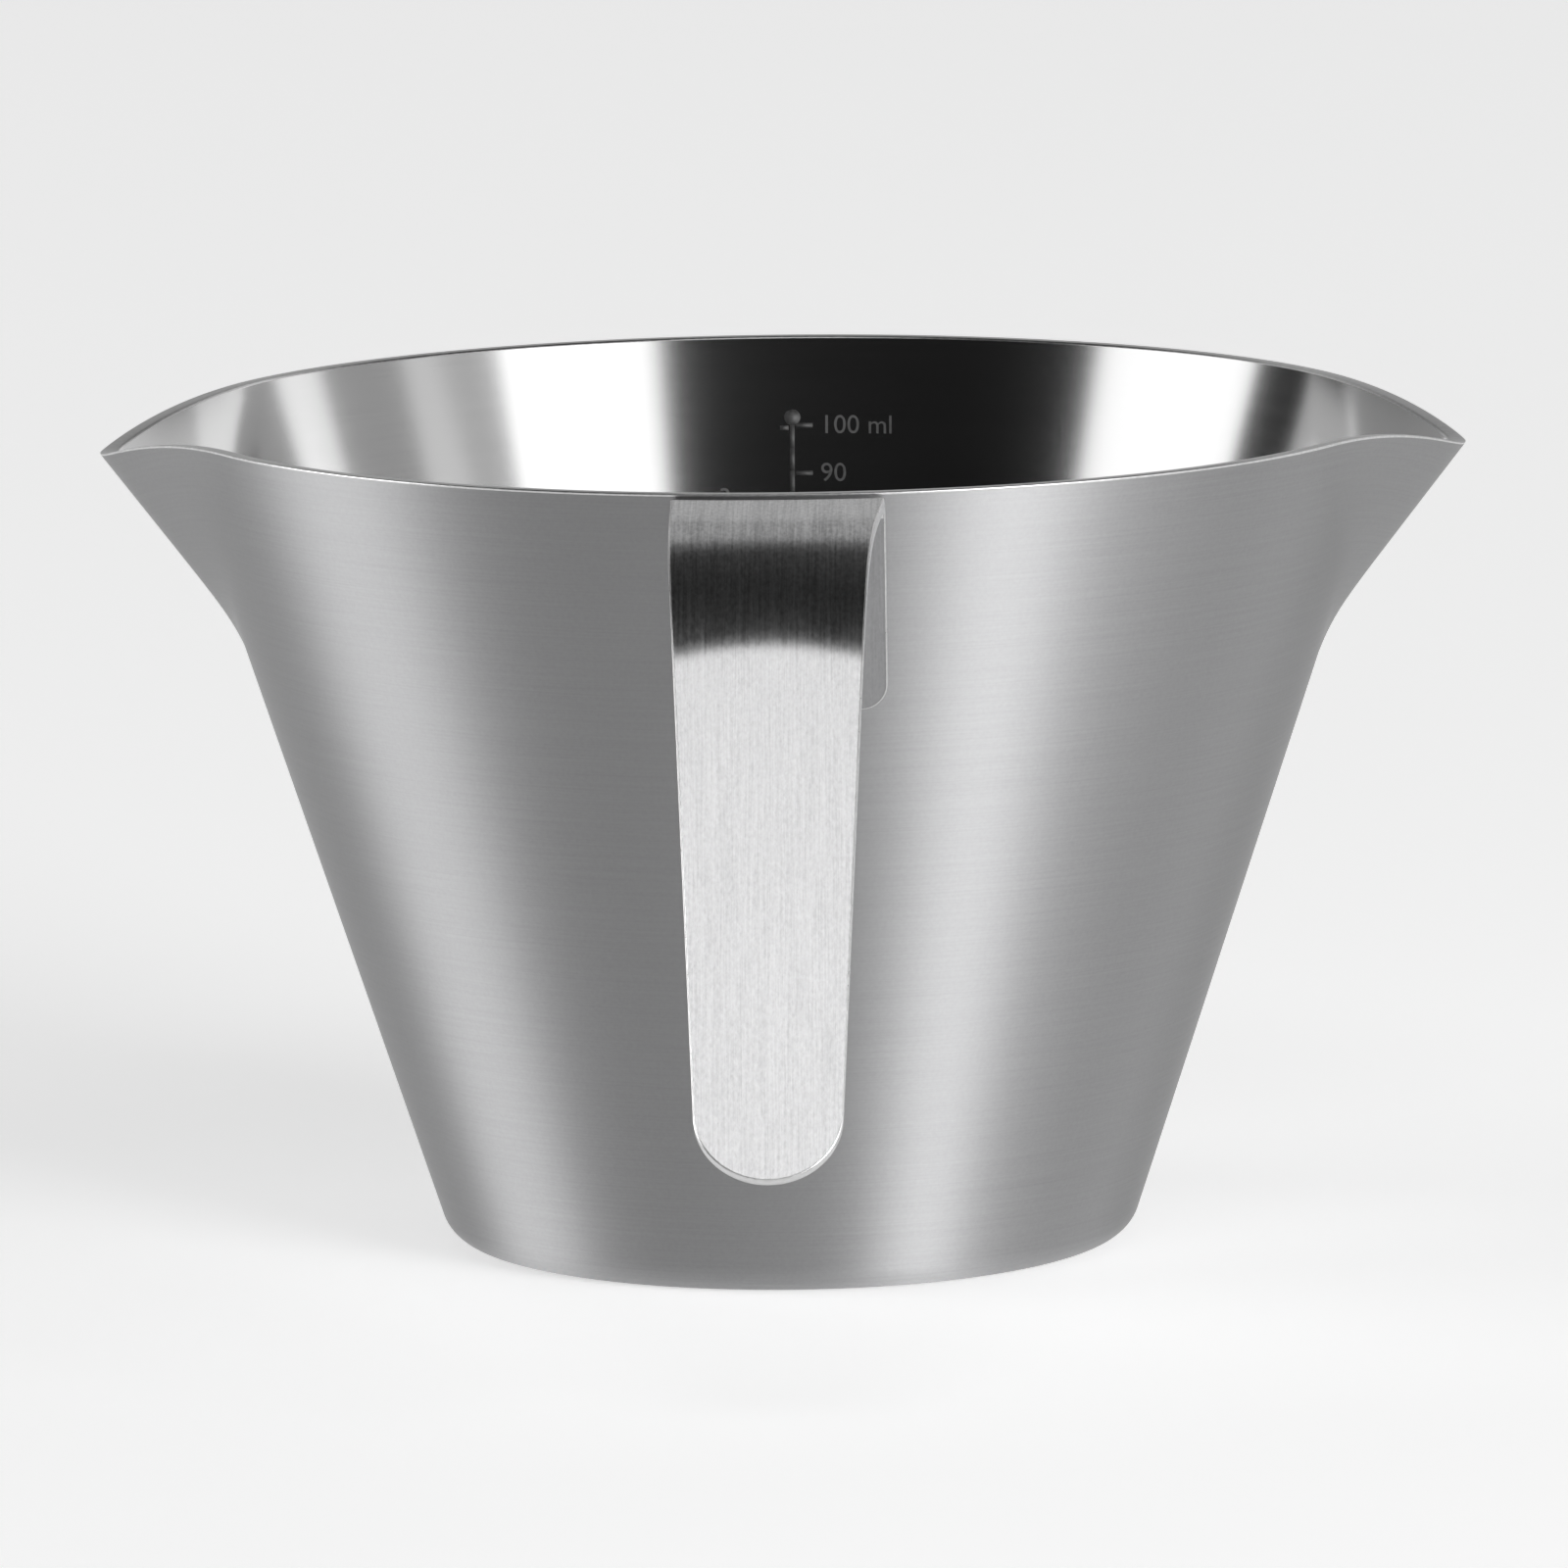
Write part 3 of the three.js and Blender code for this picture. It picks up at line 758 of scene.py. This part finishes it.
# azimuth and elevation in degrees (azimuth 0 is the handle's side, 90 is +X), then distance, width
# and height in metres, and watts
SOFTBOXES = {
    "right_key": (42, 10, 1.0, 0.40, 0.30, 6.8),
    "right_key_side": (64, 10, 1.0, 0.36, 0.30, 0.5),
    "right_key_top": (45, 28, 1.0, 0.55, 0.30, 1.1),
    "left_key": (-87, 6, 1.0, 0.62, 0.25, 4.05),
    "left_key_top": (-89, 22, 1.0, 0.69, 0.40, 1.65),
    "right_side": (73, 25, 1.0, 0.40, 0.40, 0.29),
    "right_side_low": (95, 8, 1.0, 0.80, 0.25, 0.6),
    "right_far": (114, 12, 1.0, 0.24, 0.30, 0.22),
    "right_wide": (104, 17, 1.0, 1.20, 0.35, 0.6),
    "right_back": (140, 28, 1.0, 0.60, 0.40, 0.66),
    "left_back": (-140, 12, 1.0, 0.45, 0.30, 0.28),
    "left_rear": (-140, 30, 1.0, 0.60, 0.40, 0.3),
    "front_top": (0, 49, 1.0, 0.60, 0.22, 0.95),
    "back_low": (180, 6, 1.2, 1.20, 0.20, 0.4),
    "back_wall": (180, 19, 1.2, 1.40, 0.47, 0.31),
    "back_high": (180, 33, 1.2, 1.40, 0.90, 1.1),
    "overhead": (0, 88, 1.2, 1.00, 1.00, 0.06),
}

CAMERA_AZIMUTH = math.radians(1.05)
CAMERA_ELEVATION = math.radians(8.77)
CAMERA_DISTANCE = 0.9614
CAMERA_ROLL = math.radians(-0.632)
CAMERA_LENS = 370.8                 # millimetres, like the sensor's width
CAMERA_AIM = Vector((-0.13, 0, 2.37)) * MM   # from the middle of the cup
CAMERA_CLIP = (0.01, 20)
SENSOR_WIDTH = 36


def direction(azimuth, elevation):
    """A unit vector from the cup, with azimuth 0 towards -Y and 90 degrees towards +X."""
    return Vector((math.sin(azimuth) * math.cos(elevation), -math.cos(azimuth) * math.cos(elevation),
                   math.sin(elevation)))


def add_softbox(name, azimuth, elevation, distance, width, height, power):
    light = bpy.data.lights.new(name, "AREA")
    light.shape = "RECTANGLE"
    light.size = width
    light.size_y = height
    light.energy = power
    holder = bpy.data.objects.new(name, light)
    bpy.context.scene.collection.objects.link(holder)
    target = Vector((0, 0, CUP_HEIGHT / 2))
    way = direction(math.radians(azimuth), math.radians(elevation))
    holder.location = target + way * distance
    holder.rotation_euler = way.to_track_quat("Z", "Y").to_euler()
    holder.visible_camera = False


def add_floor():
    half = FLOOR_SIZE / 2
    points = [(-half, -half, 0), (half, -half, 0), (half, half, 0), (-half, half, 0)]
    floor = make_object("floor", points, [(0, 1, 2, 3)], [floor_material()])


def add_world():
    world = bpy.data.worlds.new("studio")
    world.use_nodes = True
    background = world.node_tree.nodes["Background"]
    background.inputs["Color"].default_value = (1, 1, 1, 1)
    background.inputs["Strength"].default_value = WORLD_STRENGTH
    bpy.context.scene.world = world


def add_camera():
    data = bpy.data.cameras.new("camera")
    data.sensor_width = SENSOR_WIDTH
    data.lens = CAMERA_LENS
    data.clip_start, data.clip_end = CAMERA_CLIP
    camera = bpy.data.objects.new("camera", data)
    bpy.context.scene.collection.objects.link(camera)
    back = direction(CAMERA_AZIMUTH, CAMERA_ELEVATION)
    right = (-back).cross(Vector((0, 0, 1))).normalized()
    up = right.cross(-back)
    rolled_right = right * math.cos(CAMERA_ROLL) + up * math.sin(CAMERA_ROLL)
    rolled_up = up * math.cos(CAMERA_ROLL) - right * math.sin(CAMERA_ROLL)
    turn = Matrix((rolled_right, rolled_up, back)).transposed()
    middle = Vector((0, 0, CUP_HEIGHT / 2))
    camera.matrix_world = Matrix.Translation(middle + CAMERA_AIM + back * CAMERA_DISTANCE) @ turn.to_4x4()
    bpy.context.scene.camera = camera


# ---- the object ----------------------------------------------------------------------------------

def build_object():
    # The outside's base colour is kept darker than the same steel inside and on the grip: painted shade that
    # dims the outer wall's reflections.
    outside = brushed_around(
        "steel_outside_painted_shade", dark=(0.355, 0.355, 0.36), light=(0.425, 0.425, 0.43), rough=(0.55, 0.61),
        anisotropy=0.88, turn=QUARTER_TURN, bump=0.2, line_scale=8000)
    inside = brushed_around(
        "steel_inside", dark=(0.53, 0.53, 0.53), light=(0.55, 0.55, 0.55), rough=(0.13, 0.15),
        anisotropy=0.5, turn=0.0, bump=0.004, line_scale=4200)
    rim = fine_metal(
        "steel_rim", dark=(0.55, 0.55, 0.55), light=(0.65, 0.65, 0.65), rough=(0.30, 0.36),
        scale=3000, bump=0.01)
    grip = brushed_along(
        "steel_grip", dark=(0.50, 0.50, 0.505), light=(0.86, 0.86, 0.865), rough=(0.30, 0.38),
        anisotropy=0.95, bump=0.3)
    # The tab is the grip's steel made far darker: painted shade on the tab, which lies behind the strip and
    # reflects its dark back side.
    tab = brushed_along(
        "steel_tab_painted_shade", dark=(0.27, 0.27, 0.275), light=(0.34, 0.34, 0.345), rough=(0.34, 0.44),
        anisotropy=0.8, bump=0.3)
    edge = fine_metal(
        "steel_grip_edge", dark=(0.55, 0.55, 0.55), light=(0.65, 0.65, 0.65), rough=(0.27, 0.35),
        scale=3000, bump=0.05)
    weld = fine_metal(
        "steel_weld", dark=(0.30, 0.28, 0.27), light=(0.42, 0.41, 0.40), rough=(0.4, 0.55),
        scale=2500, bump=0.2)
    mark = fine_metal(
        "steel_mark", dark=(0.17, 0.17, 0.17), light=(0.23, 0.23, 0.23), rough=(0.65, 0.75),
        scale=4000, bump=0.1)

    cup = build_cup(outside, inside, rim)
    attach(cup, "root")
    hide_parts("cup_body")

    strap = build_strap(grip, tab, edge)
    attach(strap, "root")
    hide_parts("handle_strap")

    places = [(row, side) for row in WELD_ROWS for side in (-1, 1)]
    for index, (row, side) in enumerate(places, 1):
        face = build_weld(index, row, side, weld)
        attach(face, "root")
        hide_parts("spot_weld_%d" % index)

    scale = build_scale(mark)
    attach(scale, "root")


build_object()
add_floor()
add_world()
for box_name, settings in SOFTBOXES.items():
    add_softbox(box_name, *settings)
add_camera()
bpy.context.scene.view_settings.view_transform = "Standard"
